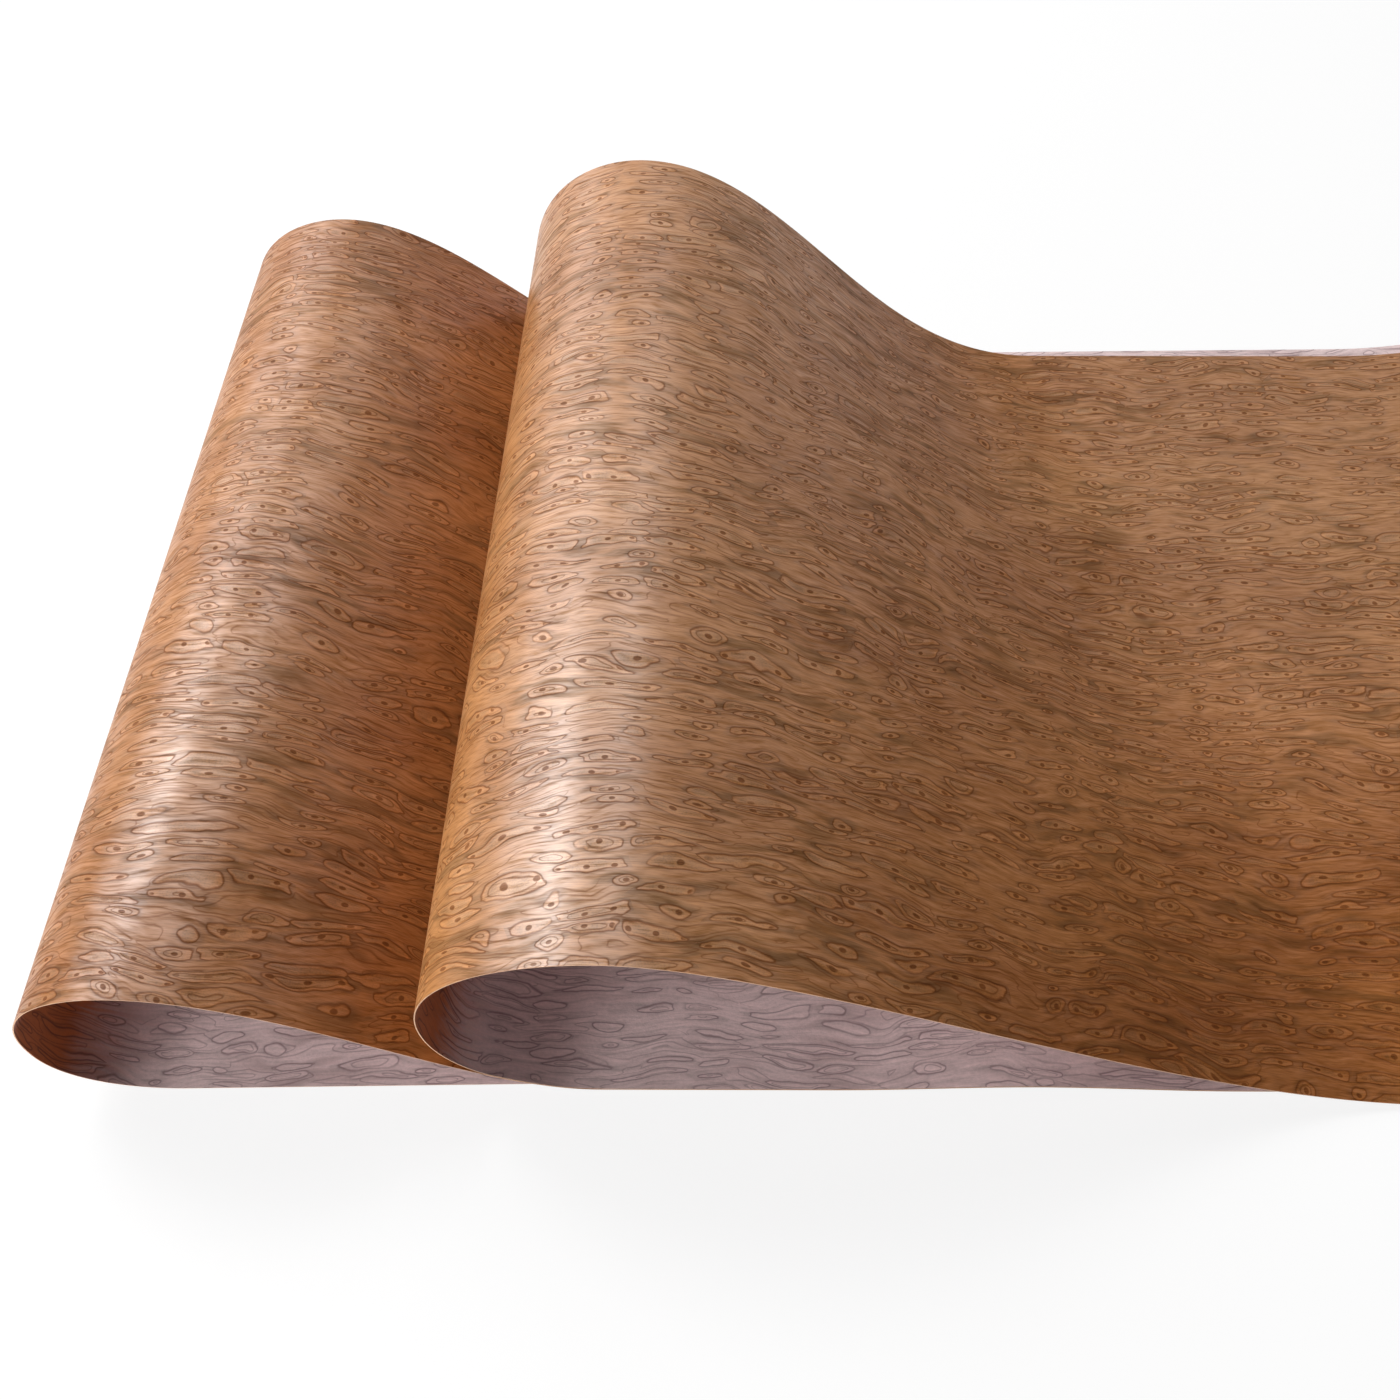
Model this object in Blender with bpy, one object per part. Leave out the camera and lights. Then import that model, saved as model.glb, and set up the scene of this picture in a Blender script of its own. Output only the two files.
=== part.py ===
"""A sheet of wood veneer laid down in a zigzag, as it comes off a bundle.

Units are metres, with +Z up. X runs along the grain, Y runs from the front edge to the back edge.
The sheet is one piece. From its hidden end it lies on the floor, rolls over the lower fold, runs
right along the floor, turns back over the low right-hand fold, runs left on top of itself, rolls
over the upper fold and ends as the top run, face up.
"""

from dataclasses import dataclass

import bmesh
import bpy
import numpy as np

# Sheet
SHEET_WIDTH = 0.580
SHEET_THICKNESS = 0.0006
LAY_GAP = 0.0004

# Lower fold at the left end; X starts at its nose on the front edge
LOWER_NOSE_LEAN = -0.002
LOWER_NOSE_HEIGHT = 0.050
LOWER_CREST_HEIGHT = 0.129
LOWER_CREST_SETBACK = 0.068
LOWER_CREST_SETBACK_BACK = 0.079
LOWER_RAMP = 0.221
LOWER_FOOT_SETBACK = 0.060

# Upper fold, further right; its ramp is longer along the front edge than along the back edge
UPPER_FROM_LOWER = 0.209
UPPER_NOSE_LEAN = 0.002
UPPER_NOSE_HEIGHT = 0.084
UPPER_CREST_HEIGHT = 0.174
UPPER_CREST_SETBACK = 0.099
UPPER_CREST_SETBACK_BACK = 0.082
UPPER_RAMP = 0.432
UPPER_RAMP_BACK = 0.289
UPPER_FOOT_SETBACK = 0.088

# Low fold at the right end, where the sheet turns back over itself
RIGHT_FROM_LOWER = 1.100
RIGHT_NOSE_HEIGHT = 0.026
RIGHT_CREST_HEIGHT = 0.052
RIGHT_CREST_SETBACK = 0.046
RIGHT_RAMP = 0.240
RIGHT_FOOT_SETBACK = 0.042

# Along the front edge the runs between the folds bow up off the floor
BOW_FROM_LOWER = 0.525
BOW_LENGTH = 0.220
BOW_HEIGHT = 0.006

# Free ends: the bottom end is tucked in before the ramp above lands, the top end leans on the right fold
BOTTOM_END_TUCK = 0.030
TOP_END_FROM_LOWER = 0.930

# Sideways drift for each metre along the run: the bottom end lies further back, the top end further front
BOTTOM_RUN_SKEW = 0.016
TOP_RUN_SKEW = 0.015

# Fullness of each curve, as the share of its span that its handle takes
LOWER_RAMP_EASE = 0.33
LOWER_CROWN_EASE = 0.38
UPPER_RAMP_EASE = 0.33
UPPER_RAMP_EASE_BACK = 0.45
UPPER_CROWN_EASE = 0.22
UPPER_CROWN_EASE_BACK = 0.36
RIGHT_RAMP_EASE = 0.45
RIGHT_CROWN_EASE = 0.35
CROWN_TO_NOSE_EASE = 0.48
NOSE_TO_CROWN_EASE = 0.68
NOSE_TO_FOOT_EASE = 0.57
FOOT_TO_NOSE_EASE = 0.67

# Facets
NOSE_STEPS = 12
RAMP_STEPS = 26
FLAT_STEPS = 20
STRIPS_ACROSS = 4

SHEET_COLOUR = (0.43, 0.21, 0.09, 1.0)
SHEET_ROUGHNESS = 0.45

FLOOR_LEVEL = SHEET_THICKNESS / 2
LAY_PITCH = SHEET_THICKNESS + LAY_GAP
SECOND_LEVEL = FLOOR_LEVEL + LAY_PITCH
TOP_LEVEL = SECOND_LEVEL + LAY_PITCH


@dataclass(frozen=True)
class Fold:
    """One edge's view of a fold. side is +1 where the loop opens to the right, -1 to the left."""

    side: int
    nose_x: float
    nose_height: float
    crest_height: float
    crest_setback: float
    ramp: float
    foot_setback: float
    ramp_ease: float
    crown_ease: float

    def x(self, setback: float) -> float:
        """The X of a point that lies a setback in from the nose."""
        return self.nose_x + self.side * setback

    @property
    def foot_x(self) -> float:
        """Where the underside leaves the surface below."""
        return self.x(self.foot_setback)

    @property
    def landing_x(self) -> float:
        """Where the ramp comes down on the surface below."""
        return self.x(self.crest_setback + self.ramp)


def curve(start, start_handle, end_handle, end, steps: int) -> np.ndarray:
    """Points along a cubic curve in the XZ plane, without its last point."""
    t = np.linspace(0.0, 1.0, steps, endpoint=False)[:, None]
    corners = np.array([start, start_handle, end_handle, end])
    weights = np.hstack([(1 - t) ** 3, 3 * (1 - t) ** 2 * t, 3 * (1 - t) * t**2, t**3])
    return weights @ corners


def flat(start_x: float, end_x: float, level: float, bow_height: float = 0.0) -> np.ndarray:
    """Points along a run that lies flat but for its bow, without its last point."""
    xs = np.linspace(start_x, end_x, FLAT_STEPS, endpoint=False)
    phase = np.clip((xs - BOW_FROM_LOWER) / BOW_LENGTH, -0.5, 0.5)
    return np.column_stack([xs, level + bow_height * np.cos(np.pi * phase) ** 2])


def underside(fold: Fold, level: float) -> np.ndarray:
    """From the foot of a fold, out and up to its nose."""
    rise = fold.nose_height - level
    return curve(
        (fold.foot_x, level),
        (fold.x(fold.foot_setback * (1 - FOOT_TO_NOSE_EASE)), level),
        (fold.nose_x, fold.nose_height - NOSE_TO_FOOT_EASE * rise),
        (fold.nose_x, fold.nose_height),
        NOSE_STEPS,
    )


def crown(fold: Fold) -> np.ndarray:
    """From the nose of a fold up to its crest."""
    rise = fold.crest_height - fold.nose_height
    return curve(
        (fold.nose_x, fold.nose_height),
        (fold.nose_x, fold.nose_height + NOSE_TO_CROWN_EASE * rise),
        (fold.x(fold.crest_setback * (1 - CROWN_TO_NOSE_EASE)), fold.crest_height),
        (fold.x(fold.crest_setback), fold.crest_height),
        NOSE_STEPS,
    )


def ramp(fold: Fold, level: float) -> np.ndarray:
    """From the crest of a fold down to where it lands."""
    return curve(
        (fold.x(fold.crest_setback), fold.crest_height),
        (fold.x(fold.crest_setback + fold.crown_ease * fold.ramp), fold.crest_height),
        (fold.x(fold.crest_setback + (1 - fold.ramp_ease) * fold.ramp), level),
        (fold.landing_x, level),
        RAMP_STEPS,
    )


def resting_on(run: np.ndarray, below: np.ndarray) -> np.ndarray:
    """Lifts a run wherever it would come closer than one lay to the run below it."""
    order = np.argsort(below[:, 0])
    xs, zs = below[order, 0], below[order, 1]
    pitch = LAY_PITCH * np.hypot(1.0, np.gradient(zs, xs))
    lifted = run.copy()
    lifted[:, 1] = np.maximum(run[:, 1], np.interp(run[:, 0], xs, zs + pitch))
    return lifted


def edge_line(lower: Fold, upper: Fold, right: Fold, bow: float, top_end_x: float) -> np.ndarray:
    """One long edge of the sheet, as XYZ offsets from the edge's own Y, from bottom end to top end."""
    bottom_run = flat(lower.landing_x - BOTTOM_END_TUCK, lower.foot_x, FLOOR_LEVEL)
    lower_ramp = ramp(lower, FLOOR_LEVEL)
    long_run = flat(lower.landing_x, right.foot_x, FLOOR_LEVEL, bow)
    right_ramp = ramp(right, SECOND_LEVEL)
    middle_run = flat(right.landing_x, upper.foot_x, SECOND_LEVEL, bow)
    upper_underside = resting_on(underside(upper, SECOND_LEVEL), np.vstack([lower_ramp, long_run]))
    upper_ramp = ramp(upper, TOP_LEVEL)
    ends = np.linspace(upper.landing_x, top_end_x, FLAT_STEPS)
    top_run = np.column_stack([ends, np.full(len(ends), TOP_LEVEL)])
    top = resting_on(np.vstack([upper_ramp, top_run]), np.vstack([middle_run, right_ramp]))

    line = np.vstack([
        bottom_run, underside(lower, FLOOR_LEVEL), crown(lower), lower_ramp, long_run,
        underside(right, FLOOR_LEVEL), crown(right), right_ramp, middle_run,
        upper_underside, crown(upper), top,
    ])
    first_top = len(line) - len(top) - NOSE_STEPS
    drift = np.zeros(len(line))
    drift[:len(bottom_run)] = BOTTOM_RUN_SKEW * (bottom_run[:, 0] - lower.foot_x)
    drift[first_top:] = -TOP_RUN_SKEW * (line[first_top:, 0] - upper.nose_x)
    return np.column_stack([line[:, 0], drift, line[:, 1]])


def developed_length(line: np.ndarray) -> float:
    """The length of an edge when the sheet is laid out flat."""
    return float(np.linalg.norm(np.diff(line, axis=0), axis=1).sum())


def front_and_back() -> tuple[np.ndarray, np.ndarray]:
    """Both long edges, point for point, and equally long because the ends are cut square."""
    right = Fold(-1, RIGHT_FROM_LOWER, RIGHT_NOSE_HEIGHT, RIGHT_CREST_HEIGHT, RIGHT_CREST_SETBACK,
                 RIGHT_RAMP, RIGHT_FOOT_SETBACK, RIGHT_RAMP_EASE, RIGHT_CROWN_EASE)
    lower_front = Fold(1, 0.0, LOWER_NOSE_HEIGHT, LOWER_CREST_HEIGHT, LOWER_CREST_SETBACK,
                       LOWER_RAMP, LOWER_FOOT_SETBACK, LOWER_RAMP_EASE, LOWER_CROWN_EASE)
    lower_back = Fold(1, LOWER_NOSE_LEAN, LOWER_NOSE_HEIGHT, LOWER_CREST_HEIGHT, LOWER_CREST_SETBACK_BACK,
                      LOWER_RAMP, LOWER_FOOT_SETBACK, LOWER_RAMP_EASE, LOWER_CROWN_EASE)
    upper_front = Fold(1, UPPER_FROM_LOWER, UPPER_NOSE_HEIGHT, UPPER_CREST_HEIGHT,
                       UPPER_CREST_SETBACK, UPPER_RAMP, UPPER_FOOT_SETBACK,
                       UPPER_RAMP_EASE, UPPER_CROWN_EASE)
    upper_back = Fold(1, UPPER_FROM_LOWER + UPPER_NOSE_LEAN, UPPER_NOSE_HEIGHT, UPPER_CREST_HEIGHT,
                      UPPER_CREST_SETBACK_BACK, UPPER_RAMP_BACK, UPPER_FOOT_SETBACK,
                      UPPER_RAMP_EASE_BACK, UPPER_CROWN_EASE_BACK)
    front = edge_line(lower_front, upper_front, right, BOW_HEIGHT, TOP_END_FROM_LOWER)
    back = edge_line(lower_back, upper_back, right, 0.0, TOP_END_FROM_LOWER)
    excess = developed_length(back) - developed_length(front)
    back = edge_line(lower_back, upper_back, right, 0.0, TOP_END_FROM_LOWER - excess)
    return front, back + (0.0, SHEET_WIDTH, 0.0)


def sheet_mesh() -> bpy.types.Mesh:
    """The middle surface of the sheet: straight lines from the front edge to the back edge."""
    front, back = front_and_back()
    shell = bmesh.new()
    rows = []
    for start, end in zip(front, back):
        shares = np.linspace(0.0, 1.0, STRIPS_ACROSS + 1)
        rows.append([shell.verts.new(start + share * (end - start)) for share in shares])
    for row, following in zip(rows, rows[1:]):
        for k in range(STRIPS_ACROSS):
            shell.faces.new((row[k], row[k + 1], following[k + 1], following[k]))
    mesh = bpy.data.meshes.new("veneer_sheet")
    shell.to_mesh(mesh)
    shell.free()
    mesh.shade_smooth()
    return mesh


def sheet_material() -> bpy.types.Material:
    """Satin brown veneer."""
    material = bpy.data.materials.new("veneer")
    material.use_nodes = True
    shader = material.node_tree.nodes["Principled BSDF"]
    shader.inputs["Base Color"].default_value = SHEET_COLOUR
    shader.inputs["Roughness"].default_value = SHEET_ROUGHNESS
    shader.inputs["Metallic"].default_value = 0.0
    return material


def centre_on_floor(sheet: bpy.types.Object) -> None:
    """Puts the origin at the middle of the sheet's footprint, on the floor."""
    bpy.context.view_layer.update()
    solid = sheet.evaluated_get(bpy.context.evaluated_depsgraph_get())
    corners = np.array([corner[:] for corner in solid.bound_box])
    low, high = corners.min(axis=0), corners.max(axis=0)
    sheet.location = (-(low[0] + high[0]) / 2, -(low[1] + high[1]) / 2, -low[2])


def main() -> None:
    for old in list(bpy.data.objects):
        bpy.data.objects.remove(old, do_unlink=True)
    sheet = bpy.data.objects.new("veneer_sheet", sheet_mesh())
    bpy.context.collection.objects.link(sheet)
    sheet.data.materials.append(sheet_material())
    thickness = sheet.modifiers.new("thickness", "SOLIDIFY")
    thickness.thickness = SHEET_THICKNESS
    thickness.offset = 0.0
    thickness.use_even_offset = True
    centre_on_floor(sheet)


main()
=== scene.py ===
"""Looks for a long sheet of figured wood veneer that lies on the floor in loose folds.

The sheet is drawn again from the same sizes as its solid, with finer steps, and dressed as a
sanded veneer face, a fleece back that lets the figure show through faintly, and a pale cut edge.
"""

import logging
import math
from dataclasses import dataclass, replace
from enum import Enum, unique

import bpy
import numpy as np
from mathutils import Euler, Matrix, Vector


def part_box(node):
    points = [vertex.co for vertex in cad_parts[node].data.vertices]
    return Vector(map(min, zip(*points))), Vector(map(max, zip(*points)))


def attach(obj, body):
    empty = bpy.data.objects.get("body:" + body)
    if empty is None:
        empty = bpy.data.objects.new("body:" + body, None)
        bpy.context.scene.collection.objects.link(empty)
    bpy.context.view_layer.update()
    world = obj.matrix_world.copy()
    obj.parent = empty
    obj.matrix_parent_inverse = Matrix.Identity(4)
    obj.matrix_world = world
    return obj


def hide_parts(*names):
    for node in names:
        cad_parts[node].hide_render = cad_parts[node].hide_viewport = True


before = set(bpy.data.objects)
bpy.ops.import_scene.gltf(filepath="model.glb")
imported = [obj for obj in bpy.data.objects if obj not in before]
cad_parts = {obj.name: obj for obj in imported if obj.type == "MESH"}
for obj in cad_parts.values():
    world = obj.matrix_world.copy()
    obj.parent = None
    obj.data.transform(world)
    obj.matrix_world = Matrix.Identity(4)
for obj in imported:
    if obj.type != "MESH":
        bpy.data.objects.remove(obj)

LOG = logging.getLogger("veneer")
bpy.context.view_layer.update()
NODE = "veneer_sheet"
GRAIN_MAP = "GrainMap"

Colour = tuple[float, float, float]

WHITE: Colour = (1.0, 1.0, 1.0)


def linear(red: int, green: int, blue: int) -> Colour:
    """A screen colour, from 0 to 255, as scene-linear values."""
    levels = (value / 255 for value in (red, green, blue))
    return tuple(v / 12.92 if v <= 0.04045 else ((v + 0.055) / 1.055) ** 2.4 for v in levels)


def put(name: str, data: bpy.types.ID) -> bpy.types.Object:
    """Puts a new object into the scene.

    Args:
        name: Its name.
        data: Its mesh, light or camera.

    Returns:
        The object.
    """
    thing = bpy.data.objects.new(name, data)
    bpy.context.scene.collection.objects.link(thing)
    return thing


class Wire:
    """One output socket of a shader graph. Arithmetic on it adds Math nodes."""

    def __init__(self, graph: "Graph", socket: bpy.types.NodeSocket) -> None:
        """Wraps a socket of the given graph."""
        self.graph = graph
        self.socket = socket

    def out(self, name: str) -> "Wire":
        """Another output of the same node."""
        return Wire(self.graph, self.socket.node.outputs[name])

    def math(self, operation: str, *others: "Value") -> "Wire":
        """A Math node with this wire as its first value and the others after it."""
        values = dict(enumerate((self, *others)))
        return self.graph.add("Math", {"operation": operation}, values)

    def __add__(self, other: "Value") -> "Wire":
        """self + other."""
        return self.math("ADD", other)

    __radd__ = __add__

    def __mul__(self, other: "Value") -> "Wire":
        """self * other."""
        return self.math("MULTIPLY", other)

    __rmul__ = __mul__

    def __sub__(self, other: "Value") -> "Wire":
        """self - other."""
        return self.math("SUBTRACT", other)

    def __rsub__(self, other: "Value") -> "Wire":
        """other - self."""
        return self.graph.add("Math", {"operation": "SUBTRACT"}, {0: other, 1: self})

    def __truediv__(self, other: "Value") -> "Wire":
        """self / other."""
        return self.math("DIVIDE", other)

    def __pow__(self, other: "Value") -> "Wire":
        """self ** other."""
        return self.math("POWER", other)

    def __abs__(self) -> "Wire":
        """The size of self without its sign."""
        return self.math("ABSOLUTE")

    def rise(self, low: float, high: float) -> "Wire":
        """A smooth step from 0 at low to 1 at high.

        Args:
            low: Where the step starts.
            high: Where it ends, which may lie below low.

        Returns:
            The step.
        """
        settings = {"interpolation_type": "SMOOTHSTEP"}
        if low > high:
            return 1 - self.rise(high, low)
        return self.graph.add("MapRange", settings, {"Value": self, "From Min": low, "From Max": high})


Value = Wire | float
Input = Wire | float | tuple


class Graph:
    """The nodes of one material, or of the world."""

    def __init__(self, owner: bpy.types.Material | bpy.types.World,
                 shader: str = "Principled BSDF") -> None:
        """Starts from the one shader that a new material or world has.

        Args:
            owner: The material or the world.
            shader: The name of its shader node.
        """
        owner.use_nodes = True
        self.owner = owner
        self.tree = owner.node_tree
        self.shader = self.tree.nodes[shader]

    def add(self, kind: str, settings: dict | None = None, inputs: dict | None = None,
            output: str = "") -> Wire:
        """Adds a node, sets its settings and then its inputs.

        Args:
            kind: The node's type, without its ShaderNode prefix.
            settings: The node's own properties.
            inputs: Values or wires by socket name or number.
            output: The output to take, or nothing for the first that is in use.

        Returns:
            The output.
        """
        node = self.tree.nodes.new("ShaderNode" + kind)
        for key, value in (settings or {}).items():
            setattr(node, key, value)
        sockets = {s.name: s for s in reversed(node.inputs) if s.enabled}
        for key, value in (inputs or {}).items():
            self.feed(node.inputs[key] if isinstance(key, int) else sockets[key], value)
        return Wire(self, next(s for s in node.outputs if s.enabled and output in ("", s.name)))

    def feed(self, socket: bpy.types.NodeSocket, value: Input) -> None:
        """Links a wire to a socket, or sets the socket's own value.

        Args:
            socket: The input socket.
            value: The wire, or the value.
        """
        if isinstance(value, Wire):
            self.tree.links.new(value.socket, socket)
        elif isinstance(value, tuple) and socket.type == "RGBA" and len(value) == 3:
            socket.default_value = (*value, 1.0)
        else:
            socket.default_value = value

    def finish(self, **inputs: Input) -> bpy.types.Material | bpy.types.World:
        """Feeds the shader's sockets.

        Args:
            inputs: Values or wires by socket name, with underscores for spaces.

        Returns:
            The finished material or world.
        """
        for key, value in inputs.items():
            self.feed(self.shader.inputs[key.replace("_", " ")], value)
        return self.owner

    def seen(self) -> Wire:
        """1 for a ray from the camera, off a gloss or through glass, and 0 for one that only lights."""
        ray = self.add("LightPath")
        return ray.math("MAXIMUM", ray.out("Is Glossy Ray")).math("MAXIMUM", ray.out("Is Transmission Ray"))

    def grain(self) -> tuple[Wire, Wire]:
        """Where a place lies on the flat sheet, along and across the grain, in metres."""
        along = self.add("SeparateXYZ", {}, {"Vector": self.add("UVMap", {"uv_map": GRAIN_MAP})})
        return along, along.out("Y")

    def place(self, along: Value, across: Value) -> Wire:
        """A vector from its first two parts."""
        return self.add("CombineXYZ", {}, {"X": along, "Y": across})

    def blend(self, factor: Value, first: Input, second: Input, mode: str = "MIX") -> Wire:
        """Two colours mixed, where the factor is the second one's share."""
        settings = {"data_type": "RGBA", "blend_type": mode, "clamp_factor": True}
        return self.add("Mix", settings, {0: factor, 6: first, 7: second})

    def tinted(self, colour: Input, share: Value, tint: Input) -> Wire:
        """A colour times a tint, of which the share shows."""
        return self.blend(share, colour, tint, "MULTIPLY")

    def grey(self, level: Wire) -> Wire:
        """A grey of the given level, as a colour."""
        return self.add("CombineColor", {}, {"Red": level, "Green": level, "Blue": level})

    def bump(self, height: Wire, distance: float, below: Wire | None = None) -> Wire:
        """A Bump node.

        Args:
            height: The relief, from 0 to 1.
            distance: What a height of 1 stands for, in metres.
            below: The normal that it bends.

        Returns:
            The bent normal.
        """
        inputs = {"Height": height, "Distance": distance, "Strength": 1.0}
        if below is not None:
            inputs["Normal"] = below
        return self.add("Bump", {}, inputs)


@dataclass(frozen=True)
class Fold:
    """One edge's view of a fold, in metres.

    Attributes:
        side: +1 where the loop opens to the right, -1 where it opens to the left.
        nose_x: Where the fold reaches furthest out.
        nose_height: How high that is.
        crest_height: The height of its top.
        crest_setback: How far the top lies in from the nose.
        ramp: The length of floor from under the top to where the ramp lands.
        foot_setback: How far in from the nose the underside leaves the surface below.
        ramp_ease, crown_ease: The landing's and the crown's share of the ramp.
    """

    side: int
    nose_x: float
    nose_height: float
    crest_height: float
    crest_setback: float
    ramp: float
    foot_setback: float
    ramp_ease: float
    crown_ease: float

    def x(self, setback: float) -> float:
        """The X of a point that lies a setback in from the nose."""
        return self.nose_x + self.side * setback

    @property
    def foot_x(self) -> float:
        """Where the underside leaves the surface below."""
        return self.x(self.foot_setback)

    @property
    def landing_x(self) -> float:
        """Where the ramp comes down on the surface below."""
        return self.x(self.crest_setback + self.ramp)


@unique
class Stretch(Enum):
    """The stretches of the sheet, in order from its hidden end, and how many steps each takes."""

    BOTTOM_RUN = 24
    LOWER_UNDERSIDE = 30
    LOWER_CROWN = 31
    LOWER_RAMP = 56
    FLOOR_RUN = 48
    RIGHT_UNDERSIDE = 18
    RIGHT_CROWN = 19
    RIGHT_RAMP = 40
    MIDDLE_RUN = 44
    UPPER_UNDERSIDE = 32
    UPPER_CROWN = 33
    UPPER_RAMP = 72
    TOP_RUN = 38


def curve(start: tuple, start_handle: tuple, end_handle: tuple, end: tuple, steps: int) -> np.ndarray:
    """Points along a cubic curve in the XZ plane.

    Args:
        start: Its first point.
        start_handle: The handle of the first point.
        end_handle: The handle of the last point.
        end: Its last point, which the next curve adds.
        steps: How many points to make.

    Returns:
        The points, without the last.
    """
    t = np.linspace(0.0, 1.0, steps, endpoint=False)[:, None]
    weights = np.hstack([(1 - t) ** 3, 3 * (1 - t) ** 2 * t, 3 * (1 - t) * t**2, t**3])
    return weights @ np.array([start, start_handle, end_handle, end])


@dataclass(frozen=True)
class Lay:
    """How the sheet lies: the profile of each of its long edges, in metres from the lower fold's nose.

    Attributes:
        width, thickness: The sheet's width and thickness.
        gap: The air between two layers.
        lower_front, lower_back: The lower fold at the front and the back edge.
        upper_front, upper_back: The upper fold at the front and the back edge.
        right: The right-hand fold.
        bow_x: Where the front edge bows furthest off the floor.
        bow_length, bow_height: How long and how high that bow is.
        bottom_tuck: How far the hidden end lies from the lower fold's landing.
        top_end_x: Where the free end of the top run lies at the front.
        bottom_skew, top_skew: How far the hidden run and the upper fold drift sideways for each metre.
        crown_to_nose, nose_to_crown: The crown's handles, as shares of its setback and its rise.
        nose_to_foot, foot_to_nose: The underside's handles, as shares of its rise and its setback.
    """

    width: float = 0.580
    thickness: float = 0.0006
    gap: float = 0.0004
    lower_front: Fold = Fold(side=1, nose_x=0.0, nose_height=0.050, crest_height=0.129,
                             crest_setback=0.068, ramp=0.221, foot_setback=0.060,
                             ramp_ease=0.33, crown_ease=0.38)
    lower_back: Fold = replace(lower_front, nose_x=-0.002, crest_setback=0.079)
    upper_front: Fold = Fold(side=1, nose_x=0.209, nose_height=0.084, crest_height=0.174,
                             crest_setback=0.099, ramp=0.432, foot_setback=0.088,
                             ramp_ease=0.33, crown_ease=0.22)
    upper_back: Fold = replace(upper_front, nose_x=0.211, crest_setback=0.082, ramp=0.289,
                               ramp_ease=0.45, crown_ease=0.36)
    right: Fold = Fold(side=-1, nose_x=1.100, nose_height=0.026, crest_height=0.052,
                       crest_setback=0.046, ramp=0.240, foot_setback=0.042,
                       ramp_ease=0.45, crown_ease=0.35)
    bow_x: float = 0.525
    bow_length: float = 0.220
    bow_height: float = 0.006
    bottom_tuck: float = 0.030
    top_end_x: float = 0.930
    bottom_skew: float = 0.016
    top_skew: float = 0.015
    crown_to_nose: float = 0.48
    nose_to_crown: float = 0.68
    nose_to_foot: float = 0.57
    foot_to_nose: float = 0.67

    @property
    def floor_level(self) -> float:
        """The height of the sheet's middle where it lies on the floor."""
        return self.thickness / 2

    @property
    def pitch(self) -> float:
        """How far the middle of one layer lies above the middle of the next."""
        return self.thickness + self.gap

    def flat(self, start_x: float, end_x: float, level: float, bow: float, stretch: Stretch) -> np.ndarray:
        """A run that lies flat but for its bow.

        Args:
            start_x, end_x: Where it starts and ends.
            level: Its height.
            bow: How high it bows above that.
            stretch: The stretch that it makes.

        Returns:
            Points along it, without the last.
        """
        xs = np.linspace(start_x, end_x, stretch.value, endpoint=False)
        phase = np.clip((xs - self.bow_x) / self.bow_length, -0.5, 0.5)
        return np.column_stack([xs, level + bow * np.cos(np.pi * phase) ** 2])

    def underside(self, fold: Fold, level: float, stretch: Stretch) -> np.ndarray:
        """From the foot of a fold, out and up to its nose.

        Args:
            fold: The fold.
            level: The height of its foot.
            stretch: The stretch that it makes.

        Returns:
            Points along it, without the last.
        """
        rise = fold.nose_height - level
        return curve(
            (fold.foot_x, level),
            (fold.x(fold.foot_setback * (1 - self.foot_to_nose)), level),
            (fold.nose_x, fold.nose_height - self.nose_to_foot * rise),
            (fold.nose_x, fold.nose_height),
            stretch.value,
        )

    def crown(self, fold: Fold, stretch: Stretch) -> np.ndarray:
        """From the nose of a fold up to its crest.

        Args:
            fold: The fold.
            stretch: The stretch that it makes.

        Returns:
            Points along it, without the last.
        """
        rise = fold.crest_height - fold.nose_height
        return curve(
            (fold.nose_x, fold.nose_height),
            (fold.nose_x, fold.nose_height + self.nose_to_crown * rise),
            (fold.x(fold.crest_setback * (1 - self.crown_to_nose)), fold.crest_height),
            (fold.x(fold.crest_setback), fold.crest_height),
            stretch.value,
        )

    def ramp(self, fold: Fold, level: float, stretch: Stretch) -> np.ndarray:
        """From the crest of a fold down to where it lands.

        Args:
            fold: The fold.
            level: The height of its landing.
            stretch: The stretch that it makes.

        Returns:
            Points along it, without the last.
        """
        return curve(
            (fold.x(fold.crest_setback), fold.crest_height),
            (fold.x(fold.crest_setback + fold.crown_ease * fold.ramp), fold.crest_height),
            (fold.x(fold.crest_setback + (1 - fold.ramp_ease) * fold.ramp), level),
            (fold.landing_x, level),
            stretch.value,
        )

    def resting_on(self, run: np.ndarray, below: np.ndarray) -> np.ndarray:
        """Lifts a run wherever it would come closer than one layer to the run below it.

        Args:
            run: Points along the run.
            below: Points along the run below, in any order.

        Returns:
            The lifted points.
        """
        order = np.argsort(below[:, 0])
        xs, zs = below[order, 0], below[order, 1]
        lowest = zs + self.pitch * np.hypot(1.0, np.gradient(zs, xs))
        lifted = run.copy()
        lifted[:, 1] = np.maximum(run[:, 1], np.interp(run[:, 0], xs, lowest))
        return lifted

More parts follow.
